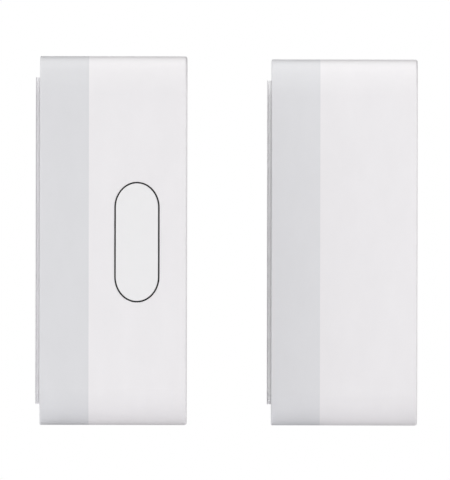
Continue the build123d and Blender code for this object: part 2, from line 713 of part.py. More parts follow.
with BuildPart() as magnet_cover:
    with BuildSketch(off_wall(SPLIT, MAG_X, MAG_OUT)):
        RectangleRounded(W, H, R)
    extrude(amount=COVER_D)
    fillet(magnet_cover.faces().sort_by(Axis.Y)[0].edges(), EDGE_FRONT)
    with BuildSketch(off_wall(SPLIT, MAG_X, MAG_OUT)):
        RectangleRounded(W - 2 * WALL, H - 2 * WALL, R - WALL)
    extrude(amount=COVER_D - WALL, mode=Mode.SUBTRACT)
    with BuildSketch(off_wall(SPLIT, MAG_X, MAG_OUT)):
        RectangleRounded(W - 2 * GROOVE, H - 2 * GROOVE, R - GROOVE)
    extrude(amount=LIP_H + 0.2, mode=Mode.SUBTRACT)
    with BuildSketch(off_wall(ARM_END - 1.5, MAG_X, MAG_OUT)):
        with Locations((0, H / 2 - WALL + 0.4), (0, -(H / 2 - WALL + 0.4))):
            Rectangle(ARM_W + 1.0, 0.8)
    extrude(amount=2.0, mode=Mode.SUBTRACT)
    # stiffening ribs inside the front wall
    with BuildSketch(off_wall(FRONT - WALL - 0.8, MAG_X, MAG_OUT)):
        with Locations((-5.0, 0), (0, 0), (5.0, 0)):
            Rectangle(0.8, 56.0)
        with Locations((0, 20.0), (0, 0), (0, -20.0)):
            Rectangle(16.0, 0.8)
    extrude(amount=1.0)
save(magnet_cover.part, "magnet_cover")

# ---- bar magnet beside the wall that faces the transmitter, and its clip-in holder
BAR_X0 = -9.1  # from the unit's centre line
BAR_D0 = 9.0
HOLD_Z = MAG_L / 2 + 0.05
with BuildPart() as bar_magnet:
    with BuildSketch(off_wall(BAR_D0, MAG_X, MAG_OUT)):
        with Locations((BAR_X0 + MAG_T / 2, 0)):
            Rectangle(MAG_T, MAG_L)
    extrude(amount=MAG_W)
    chamfer(bar_magnet.edges(), 0.3)
save(bar_magnet.part, "bar_magnet")

with BuildPart() as magnet_holder:
    # foot plate on the base's bosses
    with BuildSketch(off_wall(4.3, MAG_X, MAG_OUT)):
        with Locations((-2.35, 0)):
            RectangleRounded(15.5, 46.0, 1.5)
    extrude(amount=1.2)
    # trough that the magnet clips into, its bed raised on the foot plate
    with BuildSketch(off_wall(5.4, MAG_X, MAG_OUT)):
        with Locations((BAR_X0 + MAG_T / 2, 0)):
            Rectangle(MAG_T + 2.0, 2 * HOLD_Z + 2.0)
    extrude(amount=BAR_D0 + 7.0 - 5.4)
    with BuildSketch(off_wall(BAR_D0, MAG_X, MAG_OUT)):
        with Locations((BAR_X0 + MAG_T / 2, 0)):
            Rectangle(MAG_T + 0.1, 2 * HOLD_Z)
    extrude(amount=20.0, mode=Mode.SUBTRACT)
    with BuildSketch(off_wall(5.4, MAG_X, MAG_OUT)):
        with GridLocations(1.0, 9.5, 1, 4):
            with Locations((BAR_X0 + MAG_T / 2, 0)):
                Rectangle(MAG_T - 0.6, 7.5)
    extrude(amount=BAR_D0 - 5.4, mode=Mode.SUBTRACT)
    # two catches on each long wall reaching over the magnet's front face
    for z in (-11.0, 11.0):
        with BuildSketch(Plane.XY.offset(z - 3.0)):
            for s in (1, -1):
                cx = MAG_X + BAR_X0 + MAG_T / 2
                wall_in = MAG_T / 2 + 0.05
                top = BAR_D0 + MAG_W + 0.05
                with BuildLine():
                    Polyline(
                        (cx + s * wall_in, -(BAR_D0 + 6.5) - MAG_OUT),
                        (cx + s * wall_in, -top - MAG_OUT),
                        (cx + s * (wall_in - 0.55), -top - MAG_OUT),
                        (cx + s * (wall_in + 0.2), -(top + 1.1) - MAG_OUT),
                        (cx + s * (wall_in + 0.95), -(top + 1.1) - MAG_OUT),
                        (cx + s * (wall_in + 0.95), -(BAR_D0 + 6.5) - MAG_OUT),
                        close=True,
                    )
                make_face()
        extrude(amount=6.0)
    # gussets between foot plate and inner wall
    with BuildSketch(off_wall(5.4, MAG_X, MAG_OUT)):
        with Locations((-2.0, 21.2), (-2.0, 7.5), (-2.0, 0), (-2.0, -7.5), (-2.0, -21.2)):
            Rectangle(2.8, 1.0)
    extrude(amount=6.0)
    # screw holes
    with BuildSketch(off_wall(4.0, MAG_X, MAG_OUT)):
        with Locations(*HOLD_SCREWS):
            Circle(1.1)
    extrude(amount=3.0, mode=Mode.SUBTRACT)
save(magnet_holder.part, "magnet_holder")

with BuildPart() as holder_screws:
    with BuildSketch(off_wall(5.5, MAG_X, MAG_OUT)):
        with Locations(*HOLD_SCREWS):
            Circle(0.84)
    extrude(amount=-4.0)
    with BuildSketch(off_wall(5.5, MAG_X, MAG_OUT)):
        with Locations(*HOLD_SCREWS):
            Circle(1.9)
    extrude(amount=1.4, taper=12)
    with BuildSketch(off_wall(6.9, MAG_X, MAG_OUT)):
        with Locations(*HOLD_SCREWS):
            Rectangle(2.2, 0.55)
            Rectangle(0.55, 2.2)
    extrude(amount=-0.85, mode=Mode.SUBTRACT)
save(holder_screws.part, "holder_screws")
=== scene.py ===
import json
import math

import bmesh
import bpy
import numpy as np
from mathutils import Matrix, Vector, noise


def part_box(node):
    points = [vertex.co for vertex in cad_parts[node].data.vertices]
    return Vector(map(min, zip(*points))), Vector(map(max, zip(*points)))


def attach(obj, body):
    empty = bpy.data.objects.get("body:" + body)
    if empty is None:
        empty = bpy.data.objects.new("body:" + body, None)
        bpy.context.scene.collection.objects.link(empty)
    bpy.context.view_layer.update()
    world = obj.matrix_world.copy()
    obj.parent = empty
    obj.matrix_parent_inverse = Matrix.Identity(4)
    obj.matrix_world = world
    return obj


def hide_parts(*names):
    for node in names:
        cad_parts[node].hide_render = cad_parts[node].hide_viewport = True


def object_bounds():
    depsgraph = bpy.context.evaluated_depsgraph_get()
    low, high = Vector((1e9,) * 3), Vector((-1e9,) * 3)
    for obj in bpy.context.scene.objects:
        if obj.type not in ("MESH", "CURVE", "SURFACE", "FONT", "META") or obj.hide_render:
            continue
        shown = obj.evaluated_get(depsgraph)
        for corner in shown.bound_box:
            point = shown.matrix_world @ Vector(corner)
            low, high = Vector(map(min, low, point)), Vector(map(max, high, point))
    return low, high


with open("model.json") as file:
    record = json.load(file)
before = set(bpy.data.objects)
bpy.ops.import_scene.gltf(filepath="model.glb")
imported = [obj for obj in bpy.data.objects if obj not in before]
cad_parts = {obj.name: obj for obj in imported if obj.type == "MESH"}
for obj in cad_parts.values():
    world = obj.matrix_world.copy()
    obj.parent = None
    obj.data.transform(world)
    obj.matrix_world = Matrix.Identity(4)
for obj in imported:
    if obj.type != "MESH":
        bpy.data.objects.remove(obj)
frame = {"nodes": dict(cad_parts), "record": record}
cad_lo, cad_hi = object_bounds()
N = frame["nodes"]
MM = 0.001
scene = bpy.context.scene
scene.view_settings.view_transform = "Standard"
scene.view_settings.look = "None"

# ------------------------------------------------------------------ placing facts, from the frame
s_lo, s_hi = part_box("sensor_cover")
m_lo, m_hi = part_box("magnet_cover")
SIDE_X = s_lo.x  # the button's side wall
BOTTOM = s_lo.z
FRONT_Y = s_lo.y
MAG_CX = (m_lo.x + m_hi.x) / 2
MAG_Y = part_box("magnet_adhesive_pad")[1].y

# ------------------------------------------------------------------ camera
LENS = 1440.0
PX = 0.1895 * MM  # one pixel at the button's side wall
DIST = LENS / 36.0 * 480.0 * PX
cam_data = bpy.data.cameras.new("camera")
cam_data.lens = LENS
cam_data.sensor_width = 36.0
cam_data.clip_start, cam_data.clip_end = 0.05, 40.0
cam = bpy.data.objects.new("camera", cam_data)
scene.collection.objects.link(cam)
mid_y = (cad_lo.y + cad_hi.y) / 2 + 0.42 * MM
cam_at = Vector((SIDE_X - DIST, mid_y, BOTTOM))
aim = Vector((SIDE_X, mid_y, BOTTOM + 185.2 * PX))
look = (aim - cam_at).to_track_quat("-Z", "Y").to_matrix().to_4x4()
cam.matrix_world = Matrix.Translation(cam_at) @ look @ Matrix.Rotation(math.radians(0.12), 4, "Z")
scene.camera = cam


# ------------------------------------------------------------------ node helpers
class Nodes:
    """A small wrapper that makes nodes and links them by name."""

    def __init__(self, tree):
        self.t = tree
        tree.nodes.clear()

    def new(self, kind, **props):
        n = self.t.nodes.new(kind)
        for k, v in props.items():
            setattr(n, k, v)
        return n

    def put(self, node, **sockets):
        for k, v in sockets.items():
            s = node.inputs[k.replace("_", " ")]
            if isinstance(v, bpy.types.NodeSocket):
                self.t.links.new(v, s)
            else:
                s.default_value = v
        return node

    def math(self, op, a, b=None, c=None, clamp=False):
        n = self.new("ShaderNodeMath", operation=op, use_clamp=clamp)
        for i, v in enumerate((a, b, c)):
            if v is None:
                continue
            if isinstance(v, bpy.types.NodeSocket):
                self.t.links.new(v, n.inputs[i])
            else:
                n.inputs[i].default_value = v
        return n.outputs[0]

    def coords(self):
        return self.new("ShaderNodeTexCoord").outputs["Object"]

    def noise(self, vec, scale, detail=2.0, rough=0.5, kind="FBM"):
        n = self.new("ShaderNodeTexNoise", noise_type=kind)
        self.put(n, Vector=vec, Scale=scale, Detail=detail, Roughness=rough)
        return n.outputs["Fac"]

    def voronoi(self, vec, scale, feature="F1", smooth=None):
        n = self.new("ShaderNodeTexVoronoi", feature=feature)
        self.put(n, Vector=vec, Scale=scale)
        return n.outputs["Distance"]

    def ramp(self, fac, *stops):
        n = self.new("ShaderNodeValToRGB")
        els = n.color_ramp.elements
        while len(els) < len(stops):
            els.new(0.5)
        for e, (pos, col) in zip(els, stops):
            e.position = pos
            e.color = (*col, 1.0) if len(col) == 3 else col
        self.t.links.new(fac, n.inputs["Fac"])
        return n.outputs["Color"]

    def mix(self, fac, a, b):
        n = self.new("ShaderNodeMix", data_type="RGBA")
        for sock, v in ((n.inputs[0], fac), (n.inputs[6], a), (n.inputs[7], b)):
            if isinstance(v, bpy.types.NodeSocket):
                self.t.links.new(v, sock)
            elif isinstance(v, (tuple, list)):
                sock.default_value = (*v, 1.0) if len(v) == 3 else v
            else:
                sock.default_value = v
        return n.outputs[2]

    def remap(self, fac, lo, hi, f0=0.0, f1=1.0):
        n = self.new("ShaderNodeMapRange")
        self.put(n, Value=fac)
        n.inputs["From Min"].default_value, n.inputs["From Max"].default_value = f0, f1
        n.inputs["To Min"].default_value, n.inputs["To Max"].default_value = lo, hi
        return n.outputs["Result"]

    def stretched(self, vec, scale):
        n = self.new("ShaderNodeMapping")
        self.put(n, Vector=vec)
        n.inputs["Scale"].default_value = scale
        return n.outputs["Vector"]

    def bump(self, height, depth, normal=None):
        n = self.new("ShaderNodeBump")
        self.put(n, Height=height)
        n.inputs["Strength"].default_value = 1.0
        n.inputs["Distance"].default_value = depth
        if normal is not None:
            self.t.links.new(normal, n.inputs["Normal"])
        return n.outputs["Normal"]


def material(name):
    m = bpy.data.materials.new(name)
    m.use_nodes = True
    g = Nodes(m.node_tree)
    out = g.new("ShaderNodeOutputMaterial")
    b = g.new("ShaderNodeBsdfPrincipled")
    g.t.links.new(b.outputs[0], out.inputs["Surface"])
    return m, g, b


def shade(c, k):
    return tuple(max(0.0, min(1.0, x * k)) for x in c)


def moulded(name, rgb, rough=0.32, grain=0.11, depth=2.2, mottle=0.012, ior=1.52, flow=True):
    """Moulded plastic: spark-eroded grain, faint flow mottling, uneven sheen. grain in mm, depth in micrometres."""
    m, g, b = material(name)
    v = g.coords()
    fine = g.noise(v, 1 / (grain * MM), 3.0, 0.62)
    cell = g.voronoi(v, 1 / (grain * 1.7 * MM))
    height = g.math("MULTIPLY_ADD", cell, -0.45, fine)
    broad = g.noise(g.stretched(v, (1.0, 1.0, 0.45)), 260.0, 3.0, 0.55) if flow else g.noise(v, 420.0, 3.0)
    tint = g.ramp(broad, (0.30, shade(rgb, 1 - mottle)), (0.70, shade(rgb, 1 + mottle * 0.6)))
    # the grain's hollows hold a trace of shade
    g.put(b, Base_Color=g.mix(g.remap(height, 0.0, 0.10, 0.55, 0.1), tint, shade(rgb, 0.90)))
    g.put(b, Roughness=g.remap(g.noise(v, 900.0, 2.0), rough - 0.045, rough + 0.045, 0.3, 0.7))
    g.put(b, Normal=g.bump(height, depth * 1e-6))
    b.inputs["IOR"].default_value = ior
    return m


def metal(name, rgb, rough=0.28, stretch=(1, 1, 1), grain=0.05, tarnish=0.12, depth=1.0):
    """Plated or rolled metal: directional grain, light tarnish in patches."""
    m, g, b = material(name)
    v = g.coords()
    lines = g.noise(g.stretched(v, stretch), 1 / (grain * MM), 3.0, 0.6)
    patch = g.noise(v, 700.0, 4.0, 0.6)
    g.put(b, Base_Color=g.ramp(patch, (0.35, shade(rgb, 1 - tarnish)), (0.62, rgb)))
    g.put(b, Roughness=g.remap(g.math("MULTIPLY_ADD", lines, 0.5, patch), rough - 0.07, rough + 0.12, 0.4, 1.1))
    g.put(b, Normal=g.bump(lines, depth * 1e-6))
    b.inputs["Metallic"].default_value = 1.0
    return m


def striped_by(g, v, axis, period):
    """The object's own coordinate along one axis."""
    sep = g.new("ShaderNodeSeparateXYZ")
    g.t.links.new(v, sep.inputs[0])
    return sep.outputs["XYZ".index(axis)]


# ------------------------------------------------------------------ materials
WHITE = (0.850, 0.833, 0.842)
GREY = (0.722, 0.722, 0.737)
M = {}
M["cover_white"] = moulded("cover_white", WHITE)
M["button_white"] = moulded("button_white", (0.848, 0.842, 0.844), rough=0.33, grain=0.13, depth=1.2, mottle=0.004, flow=False)
M["base_grey"] = moulded("base_grey", GREY, rough=0.34)
# the magnet unit's shells are paler copies of the shell plastics: painted light that offsets the shade the transmitter
# casts on them
M["magnet_white_painted_lit"] = moulded("magnet_white_painted_lit", (0.874, 0.857, 0.866))
M["magnet_grey_painted_lit"] = moulded("magnet_grey_painted_lit", (0.765, 0.765, 0.780), rough=0.34)
M["snap_grey"] = moulded("snap_grey", GREY, rough=0.50, grain=0.16)
M["carrier_plastic"] = moulded("carrier_plastic", (0.040, 0.041, 0.044), rough=0.52, grain=0.16, depth=3.0, mottle=0.10)
M["holder_plastic"] = moulded("holder_plastic", (0.700, 0.700, 0.712), rough=0.50, grain=0.15, depth=2.6)
M["seal_black"] = moulded("seal_black", (0.014, 0.014, 0.015), rough=0.62, grain=0.09, depth=2.0, mottle=0.15)
M["switch_body"] = moulded("switch_body", (0.022, 0.022, 0.024), rough=0.48, grain=0.10, mottle=0.12)
M["plunger_black"] = moulded("plunger_black", (0.030, 0.030, 0.032), rough=0.36, grain=0.12, mottle=0.10)
M["shield_tin"] = metal("shield_tin", (0.74, 0.73, 0.70), 0.34, (1, 0.15, 1), 0.06)
M["crystal_metal"] = metal("crystal_metal", (0.80, 0.77, 0.70), 0.24)
M["aerial_gold"] = metal("aerial_gold", (0.86, 0.62, 0.27), 0.30, (1, 1, 1), 0.08, 0.2)
M["reed_metal"] = metal("reed_metal", (0.66, 0.64, 0.60), 0.30, (1, 1, 0.1), 0.05)
M["contact_nickel"] = metal("contact_nickel", (0.80, 0.78, 0.74), 0.22, (0.12, 1, 1), 0.07)
M["spring_nickel"] = metal("spring_nickel", (0.76, 0.75, 0.72), 0.20, (1, 1, 1), 0.06)
M["return_spring_steel"] = metal("return_spring_steel", (0.62, 0.62, 0.62), 0.24)
M["screw_zinc"] = metal("screw_zinc", (0.76, 0.78, 0.82), 0.26, (1, 1, 1), 0.08, 0.18)
M["switch_frame"] = metal("switch_frame", (0.78, 0.77, 0.76), 0.26, (1, 0.12, 1), 0.06)
M["switch_terminal"] = metal("switch_terminal", (0.80, 0.79, 0.77), 0.28)
M["magnet_nickel"] = metal("magnet_nickel", (0.70, 0.69, 0.67), 0.18, (1, 1, 1), 0.09, 0.08)
M["cell_can"] = metal("cell_can", (0.82, 0.82, 0.82), 0.22, (1, 1, 0.1), 0.07, 0.06)
M["tin_cap"] = metal("tin_cap", (0.80, 0.79, 0.77), 0.26, (1, 1, 1), 0.05, 0.12, 0.8)
M["solder"] = metal("solder", (0.72, 0.72, 0.73), 0.20, (1, 1, 1), 0.12, 0.10, 2.0)


def board_mask():
    """Green solder mask over faint traces."""
    m, g, b = material("board_green")
    v = g.coords()
    trace = g.new("ShaderNodeTexBrick")
    g.put(trace, Vector=g.stretched(v, (1.0, 900.0, 620.0)), Scale=1.0)
    trace.inputs["Mortar Size"].default_value = 0.035
    weave = g.noise(g.stretched(v, (1, 2600, 2600)), 1.0, 2.0)
    base = g.ramp(g.noise(v, 300.0, 3.0), (0.3, (0.012, 0.105, 0.045)), (0.7, (0.016, 0.135, 0.058)))
    g.put(b, Base_Color=g.mix(g.math("MULTIPLY", trace.outputs["Fac"], 0.35), base, (0.030, 0.190, 0.085)))
    g.put(b, Roughness=g.remap(weave, 0.26, 0.40, 0.3, 0.7))
    g.put(b, Normal=g.bump(weave, 3e-6))
    b.inputs["Coat Weight"].default_value = 0.35
    b.inputs["Coat Roughness"].default_value = 0.18
    return m


M["board_green"] = board_mask()


def epoxy(name, rgb, rough):
    m, g, b = material(name)
    v = g.coords()
    f = g.noise(v, 9000.0, 3.0, 0.6)
    g.put(b, Base_Color=g.ramp(f, (0.3, shade(rgb, 0.8)), (0.7, shade(rgb, 1.2))))
    g.put(b, Roughness=g.remap(f, rough - 0.06, rough + 0.06, 0.3, 0.7))
    g.put(b, Normal=g.bump(f, 2.5e-6))
    return m


M["chip_black"] = epoxy("chip_black", (0.016, 0.016, 0.017), 0.50)
M["tantalum_yellow"] = epoxy("tantalum_yellow", (0.62, 0.36, 0.045), 0.42)
M["led_clear"] = epoxy("led_clear", (0.78, 0.76, 0.58), 0.16)
M["ceramic_brown"] = epoxy("ceramic_brown", (0.27, 0.17, 0.095), 0.38)
M["resistor_black"] = epoxy("resistor_black", (0.012, 0.012, 0.014), 0.30)


def tinted_glass():
    m, g, b = material("reed_glass")
    v = g.coords()
    f = g.noise(v, 1500.0, 2.0)
    g.put(b, Base_Color=g.ramp(f, (0.3, (0.60, 0.80, 0.66)), (0.7, (0.70, 0.88, 0.75))))
    g.put(b, Roughness=g.remap(f, 0.02, 0.07, 0.3, 0.7))
    g.put(b, Normal=g.bump(g.noise(v, 500.0, 1.0), 8e-6))
    b.inputs["IOR"].default_value = 1.50
    b.inputs["Transmission Weight"].default_value = 0.92
    return m


M["reed_glass"] = tinted_glass()
M["board_ink"] = epoxy("board_ink", (0.80, 0.80, 0.77), 0.55)
M["cell_washer"] = epoxy("cell_washer", (0.050, 0.052, 0.056), 0.48)


def cell_film():
    """Printed film: midnight body, pale line and copper band at the positive end of each cell."""
    m, g, b = material("cell_sleeve")
    v = g.coords()
    sep = g.new("ShaderNodeSeparateXYZ")
    g.t.links.new(v, sep.inputs[0])
    # the rear cell's positive end is up, the front cell's is down: fold the height by which cell it is
    rear_y = -(9.75 + 20.75) / 2 * MM
    side_of = g.math("SUBTRACT", g.math("MULTIPLY", g.math("GREATER_THAN", sep.outputs["Y"], rear_y), 2.0), 1.0)
    up = g.math("MULTIPLY", sep.outputs["Z"], side_of)
    band = g.math("GREATER_THAN", up, 12.2 * MM)
    line = g.math("MULTIPLY", g.math("GREATER_THAN", up, 11.3 * MM), g.math("LESS_THAN", up, 12.2 * MM))
    foot = g.math("LESS_THAN", up, -18.4 * MM)
    ink = g.noise(v, 2500.0, 2.0)
    body = g.ramp(ink, (0.3, (0.010, 0.024, 0.075)), (0.7, (0.013, 0.030, 0.090)))
    copper = g.ramp(ink, (0.3, (0.48, 0.23, 0.11)), (0.7, (0.56, 0.28, 0.14)))
    c = g.mix(band, body, copper)
    c = g.mix(line, c, (0.80, 0.80, 0.82))
    c = g.mix(foot, c, (0.32, 0.33, 0.35))
    g.put(b, Base_Color=c)
    g.put(b, Metallic=g.math("MULTIPLY", g.math("MAXIMUM", band, foot), 0.75))
    g.put(b, Roughness=g.remap(ink, 0.20, 0.30, 0.3, 0.7))
    g.put(b, Normal=g.bump(g.noise(g.stretched(v, (1, 1, 0.2)), 1600.0, 2.0), 6e-6))
    b.inputs["Coat Weight"].default_value = 0.5
    b.inputs["Coat Roughness"].default_value = 0.08
    return m


M["cell_sleeve"] = cell_film()


def foam(name, rgb, cell_mm, depth, rough=0.85, through=0.0):
    """Closed-cell foam: rounded open cells cut through at the edge."""
    m, g, b = material(name)
    v = g.coords()
    cells = g.voronoi(v, 1 / (cell_mm * MM), "SMOOTH_F1")
    tiny = g.voronoi(v, 1 / (cell_mm * 0.45 * MM), "F1")
    h = g.math("MULTIPLY_ADD", tiny, 0.35, cells)
    # painted shade: the cell hollows are darker and the cell tops a touch lighter, following the bump height
    c = g.ramp(h, (0.05, shade(rgb, 0.80)), (0.45, rgb), (0.9, shade(rgb, 1.06)))
    g.put(b, Base_Color=c)
    g.put(b, Roughness=g.remap(h, rough - 0.06, min(rough + 0.1, 1.0), 0.1, 0.9))
    g.put(b, Normal=g.bump(h, depth * MM))
    b.inputs["Sheen Weight"].default_value = 0.06
    b.inputs["IOR"].default_value = 1.42
    if through:
        b.inputs["Subsurface Weight"].default_value = 0.85
        b.inputs["Subsurface Radius"].default_value = (1.0, 0.97, 1.0)
        b.inputs["Subsurface Scale"].default_value = through * MM
    return m


M["adhesive_foam"] = foam("adhesive_foam", (0.845, 0.822, 0.852), 0.12, 0.007, through=0.8)
# the magnet unit's foam is a paler copy of the same tape foam: painted light that offsets the shade it sits in
M["magnet_foam_painted_lit"] = foam("magnet_foam_painted_lit", (0.960, 0.942, 0.963), 0.12, 0.007, through=0.8)
M["cell_foam"] = foam("cell_foam", (0.030, 0.030, 0.033), 0.35, 0.05)


def tacky_film():
    """The tape's adhesive skin: a thin even gloss with a faint crosshatch left by its liner."""
    m, g, b = material("adhesive_film")
    v = g.coords()
    turn = g.new("ShaderNodeMapping")
    g.put(turn, Vector=v)
    turn.inputs["Rotation"].default_value = (0.0, math.radians(45), 0.0)
    sep = g.new("ShaderNodeSeparateXYZ")
    g.t.links.new(turn.outputs["Vector"], sep.inputs[0])
    k = 2 * math.pi / (1.1 * MM)
    a = g.math("POWER", g.math("ABSOLUTE", g.math("SINE", g.math("MULTIPLY", sep.outputs["X"], k / 2))), 0.18)
    c = g.math("POWER", g.math("ABSOLUTE", g.math("SINE", g.math("MULTIPLY", sep.outputs["Z"], k / 2))), 0.18)
    grid = g.math("MINIMUM", a, c)
    f = g.noise(v, 1200.0, 3.0)
    g.put(b, Base_Color=g.mix(g.math("SUBTRACT", 1.0, grid), g.ramp(f, (0.3, (0.72, 0.70, 0.725)), (0.7, (0.76, 0.74, 0.765))), (0.62, 0.605, 0.63)))
    g.put(b, Roughness=g.remap(f, 0.30, 0.46, 0.3, 0.7))
    g.put(b, Normal=g.bump(grid, 5e-6))
    b.inputs["Coat Weight"].default_value = 0.3
    b.inputs["Coat Roughness"].default_value = 0.25
    return m


M["adhesive_film"] = tacky_film()

slot_of = {s["node"]: s["material_slot"] for s in frame["record"]["subparts"]}
for name, o in N.items():
    o.data.materials.clear()
    # the magnet unit's shells take the paler copies, which are painted light
    o.data.materials.append(M[{"magnet_cover": "magnet_white_painted_lit", "magnet_base": "magnet_grey_painted_lit"}.get(name, slot_of[name])])


# ------------------------------------------------------------------ mesh helpers
def new_object(name, bm, *mats, smooth=True, angle=35.0):
    me = bpy.data.meshes.new(name)
    bm.normal_update()
    bm.to_mesh(me)
    bm.free()
    for m in mats:
        me.materials.append(m)
    if smooth:
        me.polygons.foreach_set("use_smooth", [True] * len(me.polygons))
        me.set_sharp_from_angle(angle=math.radians(angle))
    o = bpy.data.objects.new(name, me)
    scene.collection.objects.link(o)
    return o


def rounded_outline(w, h, r, arc=24, step=0.30):
    """Closed outline in millimetres, counter-clockwise seen from -Y: points (x, z) with outward normals."""
    pts = []

    def run(p, q, n):
        k = max(1, int(round((Vector(q) - Vector(p)).length / step)))
        for i in range(k):
            t = i / k
            pts.append((p[0] + (q[0] - p[0]) * t, p[1] + (q[1] - p[1]) * t, n[0], n[1]))

    def bend(cx, cz, a0):
        for i in range(arc):
            a = math.radians(a0 + 90.0 * i / arc)
            pts.append((cx + r * math.cos(a), cz + r * math.sin(a), math.cos(a), math.sin(a)))

    x, z = w / 2, h / 2
    run((x, -z + r), (x, z - r), (1, 0))
    bend(x - r, z - r, 0)
    run((x - r, z), (-x + r, z), (0, 1))
    bend(-x + r, z - r, 90)
    run((-x, z - r), (-x, -z + r), (-1, 0))
    bend(-x + r, -z + r, 180)
    run((-x + r, -z), (x - r, -z), (0, -1))
    bend(x - r, -z + r, 270)
    return pts


def skin(bm, rings, mat=0, close_first=True, close_last=True):
    """Quads between rings of equal length, with fan caps."""
    n = len(rings[0])
    vs = [[bm.verts.new(p) for p in ring] for ring in rings]
    for a, b in zip(vs, vs[1:]):
        for i in range(n):
            j = (i + 1) % n
            f = bm.faces.new((a[i], a[j], b[j], b[i]))
            f.material_index = mat
    for ring, want, flip in ((vs[0], close_first, True), (vs[-1], close_last, False)):
        if want:
            f = bm.faces.new(list(reversed(ring)) if flip else ring)
            f.material_index = mat
    return vs


# ------------------------------------------------------------------ foam tape, one on each unit
def foam_tape(name, node, body, stuff):
    lo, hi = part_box(node)
    cx, cz = (lo.x + hi.x) / 2 / MM, (lo.z + hi.z) / 2 / MM
    w, h = (hi.x - lo.x) / MM, (hi.z - lo.z) / MM
    r = 3.2
    y_wall, y_base = hi.y / MM, lo.y / MM
    film = 0.07
    out = rounded_outline(w, h, r, step=0.22)
    bm = bmesh.new()

    def ring(y, inset, wobble=0.0, seed=0.0):
        pts = []
        for x, z, nx, nz in out:
            d = inset
            if wobble:
                p = Vector((x * 2.6 + seed, y * 5.0, z * 2.6))
                d += wobble * (0.5 + 0.5 * noise.noise(p)) + wobble * 0.8 * max(0.0, noise.noise(p * 2.9))
            pts.append(Vector(((cx + x - nx * d) * MM, y * MM, (cz + z - nz * d) * MM)))
        return pts

    # adhesive skin on the wall side, foam core, adhesive skin on the housing side
    skin(bm, [ring(y_wall, 0.05), ring(y_wall - 0.02, 0.0), ring(y_wall - film, 0.0), ring(y_wall - film, 0.14)], 1)
    core = []
    y0, y1 = y_wall - film, y_base + film
    for k in range(9):
        t = k / 8
        bulge = 0.045 - 0.035 * math.sin(math.pi * t)
        core.append(ring(y0 + (y1 - y0) * t, bulge, 0.025, seed=cx))
    skin(bm, core, 0)
    skin(bm, [ring(y_base + film, 0.14), ring(y_base + film, 0.0), ring(y_base + 0.02, 0.0), ring(y_base, 0.05)], 1)
    bmesh.ops.recalc_face_normals(bm, faces=bm.faces[:])
    bmesh.ops.triangulate(bm, faces=[f for f in bm.faces if len(f.verts) > 4])
    o = new_object(name, bm, M[stuff], M["adhesive_film"], angle=50)
    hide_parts(node)
    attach(o, body)
    return o


foam_tape("sensor_foam_tape", "sensor_adhesive_pad", "sensor_base", "adhesive_foam")
# the magnet tape takes the paler foam, which is painted light
foam_tape("magnet_foam_tape", "magnet_adhesive_pad", "magnet_base", "magnet_foam_painted_lit")

# ------------------------------------------------------------------ fine detail inside the transmitter
BOARD_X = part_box("circuit_board")[0].x / MM  # component face
BACK_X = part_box("circuit_board")[1].x / MM


def block(bm, lo, hi, mat=0):
    vs = [bm.verts.new((x * MM, y * MM, z * MM)) for x in (lo[0], hi[0]) for y in (lo[1], hi[1]) for z in (lo[2], hi[2])]
    for a, b, c, d in ((0, 1, 3, 2), (4, 6, 7, 5), (0, 4, 5, 1), (2, 3, 7, 6), (0, 2, 6, 4), (1, 5, 7, 3)):
        bm.faces.new((vs[a], vs[b], vs[c], vs[d])).material_index = mat


def dome(bm, x, d, z, out, rd, rz, h, mat=0, segs=18, rows=5, power=0.75):
    """Low mound of solder on a face at x; out is the side that it stands on."""
    rings = []
    for k in range(rows):
        t = k / rows
        r = 1.0 - t
        hh = h * (1 - r ** 2) ** power
        rings.append([Vector(((x + out * hh) * MM, (-d + rd * r * math.cos(a)) * MM, (z + rz * r * math.sin(a)) * MM))
                      for a in np.linspace(0, 2 * math.pi, segs + 1)[:-1]])
    skin(bm, rings, mat)


def ramp(bm, d, z0, sgn, wd, reach, h, mat=0):
    """Concave solder fillet that climbs the end of a chip part."""
    prof = [(0.0, h), (0.25, h * 0.50), (0.55, h * 0.20), (1.0, 0.02), (1.0, 0.0), (0.0, 0.0)]
    rows = []
    for y in (-d - wd / 2, -d + wd / 2):
        rows.append([bm.verts.new(((BOARD_X - q) * MM, y * MM, (z0 + sgn * p * reach) * MM)) for p, q in prof])
    n = len(prof)
    for i in range(n):
        j = (i + 1) % n
        bm.faces.new((rows[0][i], rows[0][j], rows[1][j], rows[1][i])).material_index = mat
    for row in rows:
        bm.faces.new(row).material_index = mat


def done(bm, name, *mats, slot=None, smooth=True, body="sensor_housing", node=None):
    bmesh.ops.recalc_face_normals(bm, faces=bm.faces[:])
    bmesh.ops.triangulate(bm, faces=[f for f in bm.faces if len(f.verts) > 4])
    o = new_object(name, bm, *mats, smooth=smooth)
    if node:
        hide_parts(node)
    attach(o, body)
    return o


CAPS = [(19.6, 5.0), (19.6, 8.4), (12.2, 9.6), (12.2, 5.4), (16.0, 11.4), (24.6, 5.2),
        (24.6, -1.8), (14.0, -16.6), (16.2, -15.6), (23.6, -15.4), (22.8, 16.0), (16.0, 20.4)]
RESISTORS = [(18.4, 11.6), (20.6, 11.6), (12.2, 16.6), (14.2, 16.6), (14.2, 18.6),
             (24.6, 2.4), (13.9, -1.4), (24.6, -15.4), (12.4, -16.6), (18.6, 22.8)]

# plated ends of the chip parts
bm = bmesh.new()
e = 0.012
for parts, length, height, wrap in ((CAPS, 1.6, 0.8, 0.32), (RESISTORS, 1.5, 0.45, 0.28)):
    for d, z in parts:
        for s in (-1, 1):
            z_end, z_in = z + s * (length / 2 + e), z + s * (length / 2 - wrap)
            block(bm, (BOARD_X - height - e, -d - 0.4 - e, min(z_end, z_in)), (BOARD_X - 0.01, -d + 0.4 + e, max(z_end, z_in)))
done(bm, "chip_end_caps", M["tin_cap"], smooth=False)

